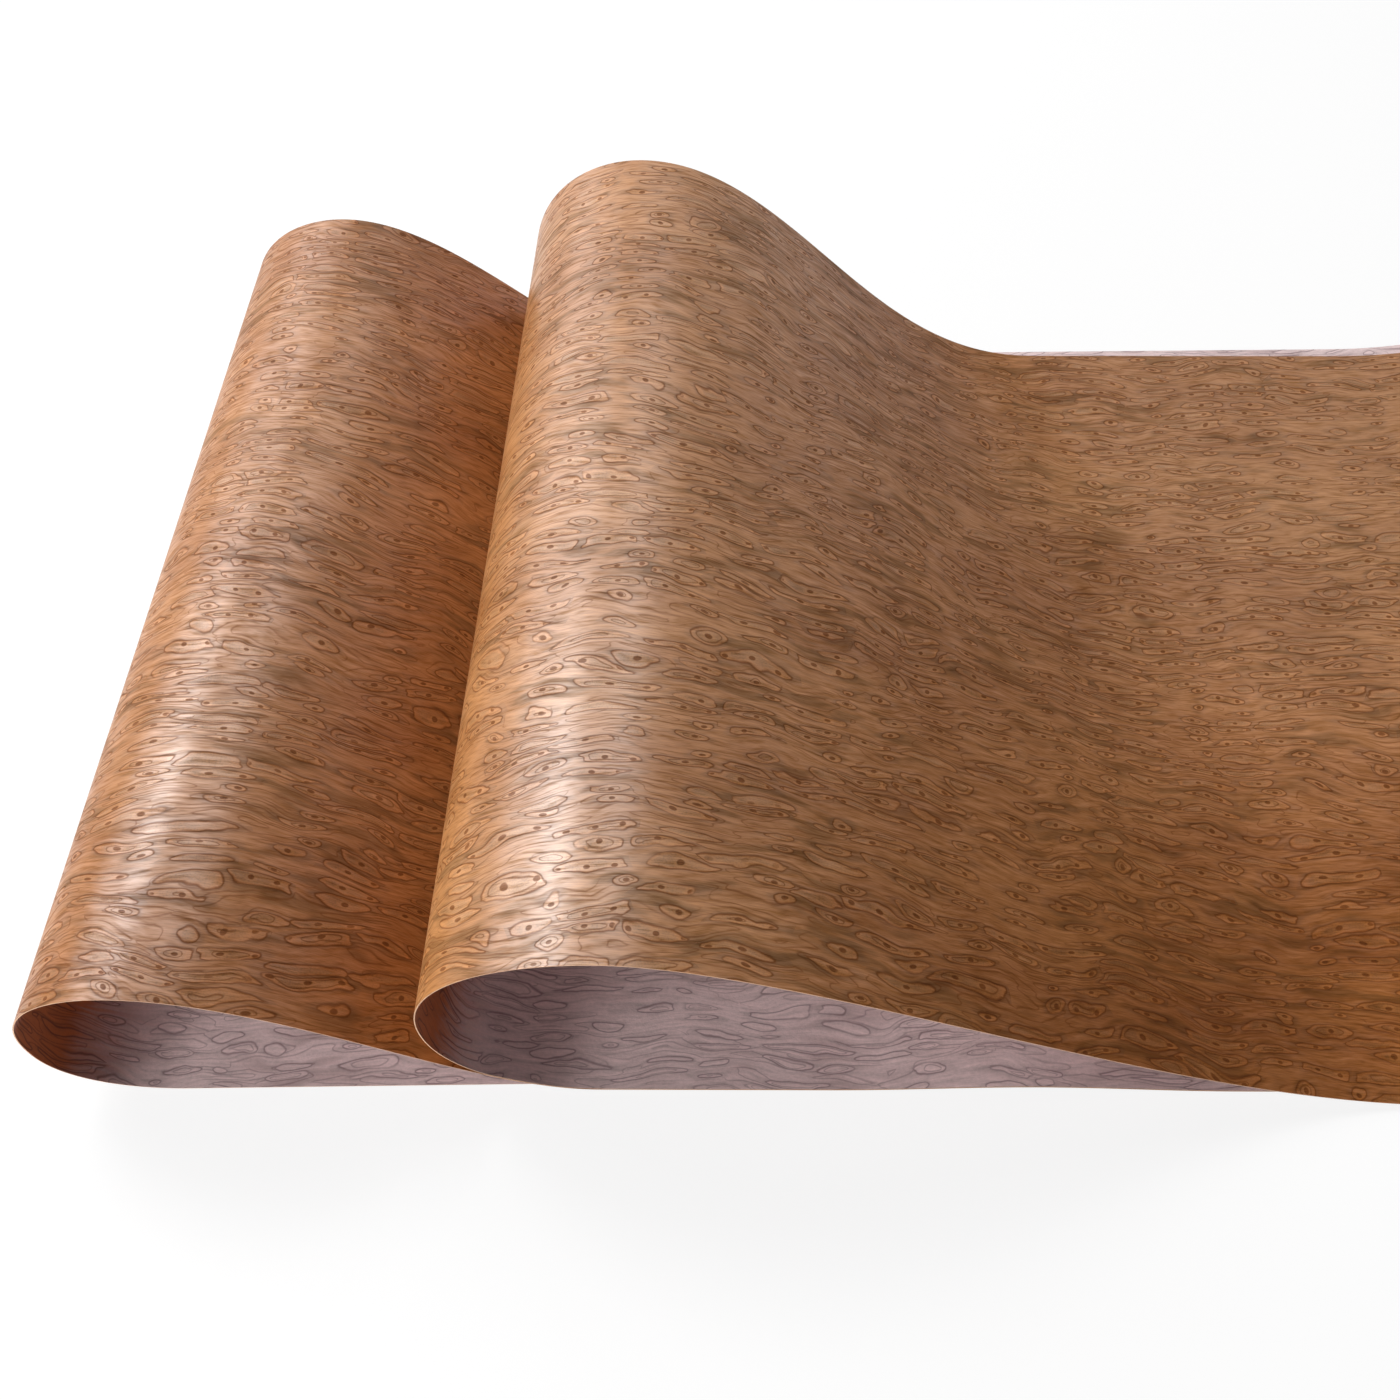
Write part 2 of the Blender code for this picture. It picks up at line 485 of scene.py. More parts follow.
    def edge(self, lower: Fold, upper: Fold, bow: float, top_end_x: float) -> np.ndarray:
        """One long edge of the sheet, as XYZ offsets from the edge's own Y.

        Args:
            lower: The lower fold at this edge.
            upper: The upper fold at this edge.
            bow: How high the runs bow off the floor here.
            top_end_x: Where the free end of the top run lies.

        Returns:
            A point for each ruling, from the hidden end to the end of the top run.
        """
        right, floor = self.right, self.floor_level
        second, top_level = floor + self.pitch, floor + 2 * self.pitch
        s = Stretch
        bottom_run = self.flat(lower.landing_x - self.bottom_tuck, lower.foot_x, floor, 0.0, s.BOTTOM_RUN)
        lower_ramp = self.ramp(lower, floor, s.LOWER_RAMP)
        floor_run = self.flat(lower.landing_x, right.foot_x, floor, bow, s.FLOOR_RUN)
        right_ramp = self.ramp(right, second, s.RIGHT_RAMP)
        middle_run = self.flat(right.landing_x, upper.foot_x, second, bow, s.MIDDLE_RUN)
        underside = self.underside(upper, second, s.UPPER_UNDERSIDE)
        underside = self.resting_on(underside, np.vstack([lower_ramp, floor_run]))
        ends = np.linspace(upper.landing_x, top_end_x, s.TOP_RUN.value + 1)
        top = np.vstack([self.ramp(upper, top_level, s.UPPER_RAMP),
                         np.column_stack([ends, np.full(len(ends), top_level)])])
        top = self.resting_on(top, np.vstack([middle_run, right_ramp]))
        top = np.vstack([self.crown(upper, s.UPPER_CROWN), top])
        line = np.vstack([
            bottom_run, self.underside(lower, floor, s.LOWER_UNDERSIDE),
            self.crown(lower, s.LOWER_CROWN), lower_ramp, floor_run,
            self.underside(right, floor, s.RIGHT_UNDERSIDE), self.crown(right, s.RIGHT_CROWN),
            right_ramp, middle_run, underside, top,
        ])
        drift = np.zeros(len(line))
        drift[:s.BOTTOM_RUN.value] = self.bottom_skew * (bottom_run[:, 0] - lower.foot_x)
        drift[-len(top):] = -self.top_skew * (top[:, 0] - upper.nose_x)
        return np.column_stack([line[:, 0], drift, line[:, 1]])

    def edges(self) -> tuple[np.ndarray, np.ndarray]:
        """Both long edges of the sheet.

        Returns:
            The front edge's points and the back edge's, ruling for ruling and equally long.
        """
        front = self.edge(self.lower_front, self.upper_front, self.bow_height, self.top_end_x)
        back = self.edge(self.lower_back, self.upper_back, 0.0, self.top_end_x)
        excess = run_lengths(back)[-1] - run_lengths(front)[-1]
        back = self.edge(self.lower_back, self.upper_back, 0.0, self.top_end_x - excess)
        return front, back + (0.0, self.width, 0.0)


def run_lengths(line: np.ndarray) -> np.ndarray:
    """How much of a line lies before each of its points."""
    return np.concatenate([[0.0], np.cumsum(np.linalg.norm(np.diff(line, axis=0), axis=1))])


@dataclass(frozen=True)
class Mottle:
    """A noise over the sheet, in blotches of one size.

    Attributes:
        length, width: A blotch's size along and across the grain, in metres.
        detail: How many finer octaves are added.
        roughness: How strongly they show.
        ahead, aside: How many blotches it is shifted along and across the grain.
        reach: How far it sways, where it moves or bends something.
        band: The levels between which it fades in, where it is a mask.
    """

    length: float
    width: float
    detail: float = 0.0
    roughness: float = 0.5
    ahead: float = 0.0
    aside: float = 0.0
    reach: float = 1.0
    band: tuple[float, float] = (0.0, 1.0)

    def on(self, g: Graph, along: Wire, across: Wire) -> Wire:
        """Lays the noise over the sheet.

        Args:
            g: The graph.
            along, across: The place along and across the grain, in metres.

        Returns:
            The noise, around 0.5.
        """
        x, y = along / self.length, across / self.width
        if self.ahead:
            x = x + self.ahead
        if self.aside:
            y = y + self.aside
        inputs = {"Vector": g.place(x, y), "Scale": 1.0, "Detail": self.detail, "Roughness": self.roughness}
        return g.add("TexNoise", {"noise_dimensions": "2D"}, inputs)

    def sway(self, g: Graph, along: Wire, across: Wire) -> Wire:
        """The noise as a swing to either side of 0."""
        return (self.on(g, along, across) - 0.5) * self.reach

    def mask(self, g: Graph, along: Wire, across: Wire) -> Wire:
        """The noise's patches, as 1 within them and 0 outside."""
        return self.on(g, along, across).rise(*self.band)


@dataclass(frozen=True)
class Level:
    """How a place lies among the islands, as wires of one graph.

    Attributes:
        rims: How far it lies from the heart of its island, for the rims.
        stream: The same for the flow lines between the islands.
        off_along, off_across: How far it lies from the heart along and across the grain, in cells.
        draws: Three random numbers for its cell: the wire's own, and its outputs Y and Z.
    """

    rims: Wire
    stream: Wire
    off_along: Wire
    off_across: Wire
    draws: Wire


@dataclass(frozen=True)
class Drawn:
    """The figure's parts, as wires of one graph.

    Attributes:
        along, across: The place along and across the grain, in metres.
        rim: The dark line round each island, and the flow lines between them.
        ring: The finer line round each eye.
        inside: 1 within an island.
        border: The pale band just within a rim.
        shadow: The darker zone just outside a rim.
        painted_relief_shade: Painted shade and highlight, as if lit from the left: from below 0 at an
            island's left end to above 0 at its right end, 0 outside.
        pupil: The dark heart of an eye.
        halo: The pale ring just round a pupil, partly figure and partly a painted gleam.
        smoke: The smoky streaks.
        fibre, vein: The fine fibres and the coarser streaks between them, around 0.5.
        tone: The slow change of tone over the sheet, from 0 to 1.
        height: The relief, from 0 to 1.
    """

    along: Wire
    across: Wire
    rim: Wire
    ring: Wire
    inside: Wire
    border: Wire
    shadow: Wire
    painted_relief_shade: Wire
    pupil: Wire
    halo: Wire
    smoke: Wire
    fibre: Wire
    vein: Wire
    tone: Wire
    height: Wire


@dataclass(frozen=True)
class Figure:
    """The wood's figure: islands with dark rims, eyes in some of them, and smoky streaks between.

    Attributes:
        cell_length, cell_width: How far apart the islands lie along and across the grain, in metres.
        scatter: How far they stray from a grid.
        rim_reach: How far a rim's line fades out to either side, in metres.
        rim_level, ring_level: How far out from the hearts the rims and the eyes' rings lie, in cells.
        roundness: How full the islands' ovals are; 2 is an ellipse.
        squeeze, more_squeeze: The longest islands' squeeze, and what the shortest have on top.
        wall_gap: How far inside a cell's wall its island stays, in cells.
        wall_pull, wall_ease: How strongly and how softly the walls hold the islands in.
        flow_level, flow_gap: The level of the first flow line and the step to the next.
        border: How far inside a rim the pale border fades out and is full.
        shadow_reach, relief_reach: How far outside a rim its shadow and its relief end.
        relief_shade_reach, eye_margin: How far inside a rim the painted shade and highlight and the eyes
            are full.
        eye_gap, eye_squeeze: How far apart the eyes of a long island lie, in cells, and their squeeze.
        pupil, halo: How far from an eye's heart the pupil and the halo end and are full, in cells.
        with_eye, with_ring, with_row: The draws from which an island has an eye, a ring, a row of eyes.
        probe: The step over which slopes are measured, in metres.
        slopes: The least and the greatest slope, as cells meet in jumps.
        flow, ripple, curl: The slow, the shorter and the shortest bends of the grain.
        drift: How the islands are moved along the grain.
        spread, wobble: Where islands are larger, and the unevenness of their outlines.
        run, flowing: The bends of the flow lines, and where these show.
        strength: Where lines are darker.
        fibres, veins: The fine fibres and the coarser streaks between them.
        streaks, zones: The smoky streaks, and where they gather.
        tones: The slow change of tone over the sheet.
    """

    cell_length: float = 0.038
    cell_width: float = 0.0100
    scatter: float = 0.68
    rim_reach: float = 0.000836
    rim_level: float = 0.30
    ring_level: float = 0.15
    roundness: float = 1.8
    squeeze: float = 0.34
    more_squeeze: float = 1.5
    wall_gap: float = 0.08
    wall_pull: float = 1.4
    wall_ease: float = 0.22
    flow_level: float = 0.30
    flow_gap: float = 0.20
    border: tuple[float, float] = (0.16, 0.04)
    shadow_reach: float = 0.22
    relief_shade_reach: float = 0.20
    relief_reach: float = 0.1
    eye_gap: float = 0.40
    eye_squeeze: float = 2.2
    eye_margin: float = 0.06
    pupil: tuple[float, float] = (0.130, 0.085)
    halo: tuple[float, float] = (0.30, 0.14)
    with_eye: tuple[float, float] = (0.15, 0.20)
    with_ring: tuple[float, float] = (0.40, 0.46)
    with_row: tuple[float, float] = (0.50, 0.46)
    probe: float = 0.0003
    slopes: tuple[float, float] = (4.0, 110.0)
    flow: Mottle = Mottle(0.13, 0.12, detail=1.0, reach=0.032)
    ripple: Mottle = Mottle(0.034, 0.020, aside=7, reach=0.0074)
    curl: Mottle = Mottle(0.013, 0.007, aside=41, reach=0.0014)
    drift: Mottle = Mottle(0.10, 0.08, ahead=31, reach=0.030)
    spread: Mottle = Mottle(0.080, 0.0085, aside=3, band=(0.30, 0.70))
    wobble: Mottle = Mottle(0.011, 0.0055, detail=1.0)
    run: Mottle = Mottle(0.110, 0.0110, detail=1.0, aside=23, reach=1.3)
    flowing: Mottle = Mottle(0.09, 0.030, ahead=11, band=(0.40, 0.54))
    strength: Mottle = Mottle(0.03, 0.010, detail=1.0, ahead=17, band=(0.20, 0.55))
    fibres: Mottle = Mottle(0.009, 0.00055, detail=3.0, roughness=0.6)
    veins: Mottle = Mottle(0.020, 0.0019, detail=2.0, roughness=0.6, ahead=3)
    streaks: Mottle = Mottle(0.048, 0.0080, detail=2.0, ahead=5, band=(0.625, 0.80))
    zones: Mottle = Mottle(0.11, 0.05, detail=1.0, aside=5, band=(0.38, 0.58))
    tones: Mottle = Mottle(0.25, 0.10, detail=4.0, roughness=0.72, aside=9, band=(0.3, 0.7))

    def level(self, g: Graph, u: Wire, v: Wire) -> Level:
        """How a place lies among the islands.

        Args:
            g: The graph.
            u, v: The place along and across the grain, in metres.

        Returns:
            Its level.
        """
        scaled = g.place(u / self.cell_length, v / self.cell_width)
        cells = {"Vector": scaled, "Scale": 1.0, "Randomness": self.scatter}
        near = g.add("TexVoronoi", {"voronoi_dimensions": "2D"}, cells)
        wall = g.add("TexVoronoi", {"voronoi_dimensions": "2D", "feature": "DISTANCE_TO_EDGE"}, cells)
        apart = g.add("VectorMath", {"operation": "SUBTRACT"}, {0: scaled, 1: near.out("Position")})
        off_along = g.add("SeparateXYZ", {}, {"Vector": apart})
        off_across = off_along.out("Y")
        draws = g.add("SeparateXYZ", {}, {"Vector": near.out("Color")})
        squeeze = self.squeeze + draws ** 2.0 * self.more_squeeze
        oval = abs(off_along * squeeze) ** self.roundness + abs(off_across) ** self.roundness
        oval = oval ** (1 / self.roundness)
        spread = self.spread.mask(g, u, v)
        wobble = self.wobble.on(g, u, v) - 0.5
        rims = oval + 0.02 + (spread - 0.5) * 0.18 + (draws.out("Y") - 0.5) * 0.10 + wobble * 0.20
        fence = self.rim_level + self.wall_gap - wall * self.wall_pull + wobble * 0.30
        rims = rims.math("SMOOTH_MAX", fence, self.wall_ease)
        stream = near * 0.45 + self.run.sway(g, u, v) + wobble * 0.04
        return Level(rims, stream, off_along, off_across, draws)

    def _slope(self, here: Wire, ahead: Wire, aside: Wire) -> Wire:
        """How steeply a level changes for each metre.

        Args:
            here: The level at the place.
            ahead, aside: The level a probe's step along and across the grain.

        Returns:
            The slope.
        """
        least, greatest = self.slopes
        steepness = ((ahead - here) ** 2 + (aside - here) ** 2).math("SQRT") / self.probe
        return steepness.math("MAXIMUM", least).math("MINIMUM", greatest)

    def _line(self, off: Wire, weight: float) -> Wire:
        """A soft line of even width where off, in metres, is near 0."""
        return abs(off).rise(self.rim_reach * weight, 0.0)

    def draw(self, g: Graph) -> Drawn:
        """Draws the figure into a graph.

        Args:
            g: The graph of the material that shows it.

        Returns:
            Its parts.
        """
        along, across = g.grain()
        u = along + self.drift.sway(g, along, across)
        v = across + self.flow.sway(g, along, across)
        v = v + self.ripple.sway(g, along, across) + self.curl.sway(g, along, across)
        here = self.level(g, u, v)
        ahead = self.level(g, u + self.probe, v)
        aside = self.level(g, u, v + self.probe)
        level, draws = here.rims, here.draws
        rim_slope = self._slope(level, ahead.rims, aside.rims)
        stream_slope = self._slope(here.stream, ahead.stream, aside.stream)

        strength = self.strength.mask(g, u, v)
        rim = self._line((level - self.rim_level) / rim_slope, 1.0) * (0.45 + strength * 0.55)
        ring = self._line((level - self.ring_level) / rim_slope, 0.7) * draws.out("Z").rise(*self.with_ring)
        inside = level.rise(self.rim_level + 0.02, self.rim_level - 0.02)
        border = level.rise(*(self.rim_level - depth for depth in self.border)) * inside
        shadow = level.rise(self.rim_level + self.shadow_reach, self.rim_level) * (1 - inside)
        # painted shade and highlight: each island darker at its left end and paler at its right, as if lit
        # from the left
        painted_relief_shade = here.off_along * level.rise(self.rim_level, self.rim_level - self.relief_shade_reach)

        bands = (here.stream - self.flow_level) / self.flow_gap
        stream = self._line((bands - bands.math("ROUND")) * self.flow_gap / stream_slope, 0.8)
        flowing = self.flowing.mask(g, u, v)
        rim = rim.math("MAXIMUM", stream * flowing * (1 - inside) * 0.65)

        beads = here.off_along / self.eye_gap
        beads = (beads - beads.math("ROUND")) * self.eye_gap
        beads = here.off_along + (beads - here.off_along) * draws.rise(*self.with_row)
        spot = g.place(beads * self.eye_squeeze, here.off_across)
        heart = g.add("VectorMath", {"operation": "LENGTH"}, {0: spot}, "Value")
        eyed = level.rise(self.rim_level, self.rim_level - self.eye_margin)
        eyed = draws.out("Y").rise(*self.with_eye) * eyed
        pupil = heart.rise(*self.pupil) * eyed
        # partly figure, partly a painted gleam: a pale ring round each pupil
        halo = heart.rise(*self.halo) * eyed * (1 - pupil)

        fibre, tone = self.fibres.on(g, along, across), self.tones.mask(g, along, across)
        vein, streak = self.veins.on(g, u, v), self.streaks.on(g, u, v)
        zone = self.zones.mask(g, along, across)
        smoke = (streak + vein * 0.30).rise(*self.streaks.band) * zone * (1 - inside * 0.6)
        height = level.rise(0.0, self.rim_level + self.relief_reach)
        return Drawn(along, across, rim, ring, inside, border, shadow, painted_relief_shade, pupil, halo, smoke,
                     fibre, vein, tone, height)


@dataclass(frozen=True)
class Patch:
    """A part of the face whose colour carries painted light or shade, or whose gloss differs a little from
    the rest.

    Attributes:
        tint: What the colour is multiplied by, as painted light or shade.
        gloss: The change of the gloss, as a share of it.
        start: Where the patch fades in along the grain, in metres.
        end: Where it fades out again, or nothing where it runs on to the sheet's end.
        across: Where it fades in across the grain, or nothing where it spans the sheet.
    """

    tint: Colour
    gloss: float
    start: tuple[float, float]
    end: tuple[float, float] | None = None
    across: tuple[float, float] | None = None

    def share(self, d: Drawn) -> Wire:
        """How much of the patch shows at each place.

        Args:
            d: The figure.

        Returns:
            The share, from 0 to 1.
        """
        share = d.along.rise(*self.start)
        if self.end is not None:
            share = share * d.along.rise(*self.end)
        if self.across is not None:
            share = share * d.across.rise(*self.across)
        return share


@dataclass(frozen=True)
class VeneerFace:
    """The sanded face of the veneer, satin and warm brown.

    Attributes:
        figure: The wood's figure.
        pale, deep: The wood where its tone is palest and deepest.
        smoke: The tint of the smoky streaks.
        ink: The tint of rims, rings and pupils.
        heart: The tint within an island.
        patches: The parts whose colour carries painted light or shade, or whose gloss differs.
        speckle: The fine dots within an island.
        bare_roughness, bare_gloss: The wood's roughness and gloss below its satin coat.
        roughness, density: The coat's roughness and refraction.
        sheen: How much coat there is between streaks and lines.
        relief, fibre_relief: The height of the figure's and of the fibres' relief, in metres.
    """

    figure: Figure = Figure()
    pale: Colour = linear(170, 113, 63)
    deep: Colour = linear(147, 90, 40)
    smoke: Colour = (0.54, 0.58, 0.62)
    ink: Colour = (0.34, 0.22, 0.12)
    heart: Colour = (0.94, 1.0, 1.10)
    patches: tuple[Patch, ...] = (
        # everything before the upper fold: painted shade, a little darker and less glossy
        Patch(tint=(0.87, 0.88, 0.86), gloss=-0.10, start=(2.2, 0.9)),
        # the lower ramp: painted warm bounce light in the valley
        Patch(tint=(1.07, 0.89, 0.78), gloss=0.0, start=(0.43, 0.54), end=(0.90, 0.70)),
        # the upper crown: painted highlight, paler and cooler, with a little more gloss
        Patch(tint=(0.96, 1.06, 1.22), gloss=0.14, start=(2.28, 2.42), end=(2.74, 2.58)),
        # the upper ramp
        Patch(tint=WHITE, gloss=-0.40, start=(2.62, 2.82), end=(3.06, 2.88)),
        # the front part, towards the free end: painted shade, darker and more saturated, with less gloss
        Patch(tint=(0.76, 0.63, 0.42), gloss=-0.50, start=(2.55, 3.05), across=(0.32, 0.05)),
        # the back part, towards the free end: painted shade, a little darker and less orange
        Patch(tint=(0.88, 0.93, 0.99), gloss=0.0, start=(2.78, 2.98), across=(0.20, 0.40)),
    )
    speckle: Mottle = Mottle(0.0011, 0.0008, detail=1.0, band=(0.42, 0.72))
    bare_roughness: float = 0.6
    bare_gloss: float = 0.1
    roughness: float = 0.32
    density: float = 1.65
    sheen: float = 0.68
    relief: float = 0.0002
    fibre_relief: float = 0.00003

    def make(self) -> bpy.types.Material:
        """Builds the material.

        Returns:
            The material.
        """
        g = Graph(bpy.data.materials.new("veneer_face"))
        d = self.figure.draw(g)
        speckle = self.speckle.mask(g, d.along, d.across)
        shade = 0.17 + d.fibre * 0.80 + d.vein * 0.90
        shade = shade + d.border * 0.14 - d.inside * speckle * 0.18
        # painted shade and highlight: the islands' left-to-right shading, and the partly painted gleam
        # round the pupils
        shade = shade - d.shadow * 0.24 + d.painted_relief_shade * 0.30 + d.halo * 0.16
        lines = d.rim.math("MAXIMUM", d.ring * 0.85).math("MAXIMUM", d.pupil)
        gleam = (self.sheen + (d.vein - 0.5) * 1.4 + (d.fibre - 0.5) * 0.6) * (1 - lines * 0.60)
        gleam = gleam * (1 - d.smoke * 0.4)
        tint = g.blend(d.smoke * 0.8, WHITE, self.smoke)
        tint = g.tinted(tint, d.inside - d.border, self.heart)
        # painted light and shade: each patch tints a part of the face lighter, darker or warmer, and
        # changes its gloss
        for patch in self.patches:
            share = patch.share(d)
            tint = g.tinted(tint, share, patch.tint)
            gleam = gleam * (1 + share * patch.gloss)
        tint = g.blend(lines * 0.72, tint, self.ink)
        colour = g.blend(d.tone, self.deep, self.pale)
        colour = g.tinted(g.tinted(colour, 1.0, g.grey(shade)), 1.0, tint)
        normal = g.bump(d.fibre, self.fibre_relief, g.bump(d.height, self.relief))
        return g.finish(Base_Color=colour, Roughness=self.bare_roughness + d.fibre * 0.1,
                        Specular_IOR_Level=self.bare_gloss, Coat_Weight=gleam.rise(0.0, 1.0),
                        Coat_Roughness=self.roughness, Coat_IOR=self.density, Normal=normal)


@dataclass(frozen=True)
class FleeceBack:
    """The non-woven fleece glued to the back, thin enough to let the figure show faintly.

    Attributes:
        figure: The figure that shows through.
        fleece: The fleece's colour.
        wood: The colour of the wood that shows through it.
        painted_glow_and_shade: Its colour at the bends: painted light that shines through the wood, with
            painted shade inside the bend.
        ink: The tint of the lines that show through.
        felt: The fleece's felted hairs.
        glow_reach: How far from a bend the painted glow and shade start and where they are full, in metres.
        roughness, relief: The fleece's roughness and the height of its hairs, in metres.
    """

    figure: Figure = Figure(cell_width=0.0088, rim_reach=0.000798, rim_level=0.26, scatter=0.82)
    fleece: Colour = linear(225, 203, 202)
    wood: Colour = linear(128, 92, 90)
    painted_glow_and_shade: Colour = linear(152, 78, 34)
    ink: Colour = (0.40, 0.34, 0.36)
    felt: Mottle = Mottle(0.0022, 0.0016, detail=3.0, roughness=0.7)
    glow_reach: tuple[float, float] = (0.072, 0.020)
    roughness: float = 0.85
    relief: float = 0.0001

    def make(self, noses: list[float]) -> bpy.types.Material:
        """Builds the material.

        Args:
            noses: How far along the sheet the bends lie, where light through the wood is painted on the
                fleece.

        Returns:
            The material.
        """
        g = Graph(bpy.data.materials.new("fleece_back"))
        d = self.figure.draw(g)
        felt = self.felt.on(g, d.along, d.across)
        lines = d.rim.math("MAXIMUM", d.ring * 0.7)
        colour = g.blend(d.tone * 0.15 + d.smoke * 0.25, self.fleece, self.wood)
        # painted light and shade: near each bend the fleece turns into a warm brown glow of light through
        # the wood, darker inside the bend, with stronger lines
        for nose in noses:
            glow_share = abs(d.along - nose + (d.vein - 0.5) * 0.02).rise(*self.glow_reach)
            colour = g.blend(glow_share, colour, self.painted_glow_and_shade)
            lines = lines * (1 + glow_share * 0.25)
        shade = 0.57 + felt * 0.34 + d.vein * 0.60 - d.shadow * 0.16
        colour = g.tinted(g.tinted(colour, lines * 0.80, self.ink), 1.0, g.grey(shade))
        return g.finish(Base_Color=colour, Roughness=self.roughness + felt * 0.1,
                        Normal=g.bump(felt, self.relief))


@dataclass(frozen=True)
class CutEdge:
    """The trimmed edge: bare pale wood over fleece.

    Attributes:
        pale, dark: The colour of the bare wood, and its colour in the nicks.
        nicks: The small nicks that the knife left.
        bands: The slow change of tone along the edge.
        roughness, relief: The edge's roughness and the depth of the nicks, in metres.
    """

    pale: Colour = linear(196, 158, 128)
    dark: Colour = linear(150, 108, 78)
    nicks: Mottle = Mottle(0.0025, 0.0003, detail=3.0, band=(0.5, 0.75))
    bands: Mottle = Mottle(0.02, 0.02, detail=1.0, aside=4)
    roughness: float = 0.7
    relief: float = 0.00005

    def make(self) -> bpy.types.Material:
        """Builds the material.

        Returns:
            The material.
        """
        g = Graph(bpy.data.materials.new("cut_edge"))
        along, across = g.grain()
        nick, band = self.nicks.on(g, along, across), self.bands.on(g, along, across)
        colour = g.blend(nick.rise(*self.nicks.band) * 0.6 + band * 0.2, self.pale, self.dark)
        return g.finish(Base_Color=colour, Roughness=self.roughness + nick * 0.2,
                        Normal=g.bump(nick, self.relief))


class Side(Enum):
    """The sides of the sheet, by their material's place in a mesh."""

    FACE = 0
    BACK = 1
    EDGE = 2


@dataclass
class VeneerSheet:
    """The sheet, as closed stretches that meet edge to edge.

    Attributes:
        lay: How the sheet lies.
        strips: Strips across its width.
        face, back, edge: The finish of the face, of the back and of the cut edges.
        bends: The stretches that start at a bend, where light through the wood is painted on the fleece.
    """

    lay: Lay = Lay()
    strips: int = 24
    face: VeneerFace = VeneerFace()
    back: FleeceBack = FleeceBack()
    edge: CutEdge = CutEdge()
    bends: tuple[Stretch, ...] = (Stretch.LOWER_CROWN, Stretch.UPPER_CROWN)

    def _start(self, stretch: Stretch) -> int:
        """The number of the ruling at which a stretch starts."""
        order = list(Stretch)
        return sum(earlier.value for earlier in order[:order.index(stretch)])

    def build(self) -> list[bpy.types.Object]:
        """Builds every stretch, dresses it and hangs it on the body.

        Returns:
            The stretches.
        """
        points, normals, grain = self._surface()
        half = normals * self.lay.thickness / 2
        layers = self._fitted(np.stack([points + half, points - half]))
        noses = [float(grain[self._start(bend), :, 0].mean()) for bend in self.bends]
        materials = [self.face.make(), self.back.make(noses), self.edge.make()]
        pieces = []
        for stretch in Stretch:
            first = self._start(stretch)
            rows = slice(first, first + stretch.value + 1)
            name = stretch.name.lower()
            mesh = self._slab(name, layers[:, rows], normals[rows], grain[rows])
            for material in materials:
                mesh.materials.append(material)
            piece = put(name, mesh)
            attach(piece, "root")
            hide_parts(NODE)
            pieces.append(piece)
        return pieces

    def _surface(self) -> tuple[np.ndarray, np.ndarray, np.ndarray]:
        """The sheet's middle surface.

        Returns:
            Its points, its normals on the face side, and each point's place on the flat sheet.
        """
        front, back = self.lay.edges()
        share = np.linspace(0.0, 1.0, self.strips + 1)[None, :, None]
        points = front[:, None] + share * (back - front)[:, None]
        forward = np.gradient(points, axis=0)
        forward /= np.linalg.norm(forward, axis=2, keepdims=True)
        normals = np.cross(forward, (back - front)[:, None])
        normals /= np.linalg.norm(normals, axis=2, keepdims=True)
        ends = np.stack([run_lengths(front), run_lengths(back)], axis=1)[:, :, None]
        along = ends[:, :1] + share * (ends[:, 1:] - ends[:, :1])
        across = np.broadcast_to(share * self.lay.width, along.shape)
        return points, normals, np.concatenate([along, across], axis=2)

    def _fitted(self, layers: np.ndarray) -> np.ndarray:
        """Moves the sheet to where the solid lies and trims rounding off its size.

        Args:
            layers: The points of the face and of the back.

        Returns:
            The moved points.
        """
        low, high = (np.array(corner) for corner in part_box(NODE))
        own_low, own_high = layers.min(axis=(0, 1, 2)), layers.max(axis=(0, 1, 2))
        scale = (high - low) / (own_high - own_low)
        LOG.info("fit to the solid: scale %s", np.round(scale, 5))
        return low + (layers - own_low) * scale

    def _slab(self, name: str, layers: np.ndarray, normals: np.ndarray,
              grain: np.ndarray) -> bpy.types.Mesh:
        """A closed slab between the face and the back of one stretch.

        Args:
            name: The mesh's name.
            layers: The face's and the back's grids of points.
            normals: The normals of the face.
            grain: The place of each point on the flat sheet.

        Returns:
            The mesh, with its grain map and its own normals.
        """
        rows, columns = normals.shape[:2]
        index = np.arange(2 * rows * columns).reshape(2, rows, columns)
        face, back = index
        strips = [
            (Side.FACE, face[:-1, :-1], face[1:, :-1], face[1:, 1:], face[:-1, 1:]),
            (Side.BACK, back[:-1, :-1], back[:-1, 1:], back[1:, 1:], back[1:, :-1]),
            (Side.EDGE, face[:-1, 0], back[:-1, 0], back[1:, 0], face[1:, 0]),
            (Side.EDGE, face[:-1, -1], face[1:, -1], back[1:, -1], back[:-1, -1]),
            (Side.EDGE, face[0, :-1], face[0, 1:], back[0, 1:], back[0, :-1]),
            (Side.EDGE, face[-1, :-1], back[-1, :-1], back[-1, 1:], face[-1, 1:]),
        ]
        corners = np.concatenate([np.stack(grids, axis=-1).reshape(-1, 4) for _, *grids in strips])
        slots = np.concatenate([np.full(grids[0].size, side.value) for side, *grids in strips])
        places = layers.reshape(-1, 3)
        mesh = bpy.data.meshes.new(name)
        mesh.from_pydata(places.tolist(), [], corners.tolist())
        mesh.polygons.foreach_set("material_index", slots)
        mesh.shade_smooth()

        flat_normals = np.cross(places[corners[:, 2]] - places[corners[:, 0]],
                                places[corners[:, 3]] - places[corners[:, 1]])
        flat_normals /= np.linalg.norm(flat_normals, axis=1, keepdims=True)
        both = np.concatenate([normals.reshape(-1, 3), -normals.reshape(-1, 3)])[corners]
        is_edge = (slots == Side.EDGE.value)[:, None, None]
        corner_normals = np.where(is_edge, flat_normals[:, None], both)
        mesh.normals_split_custom_set(corner_normals.reshape(-1, 3).tolist())

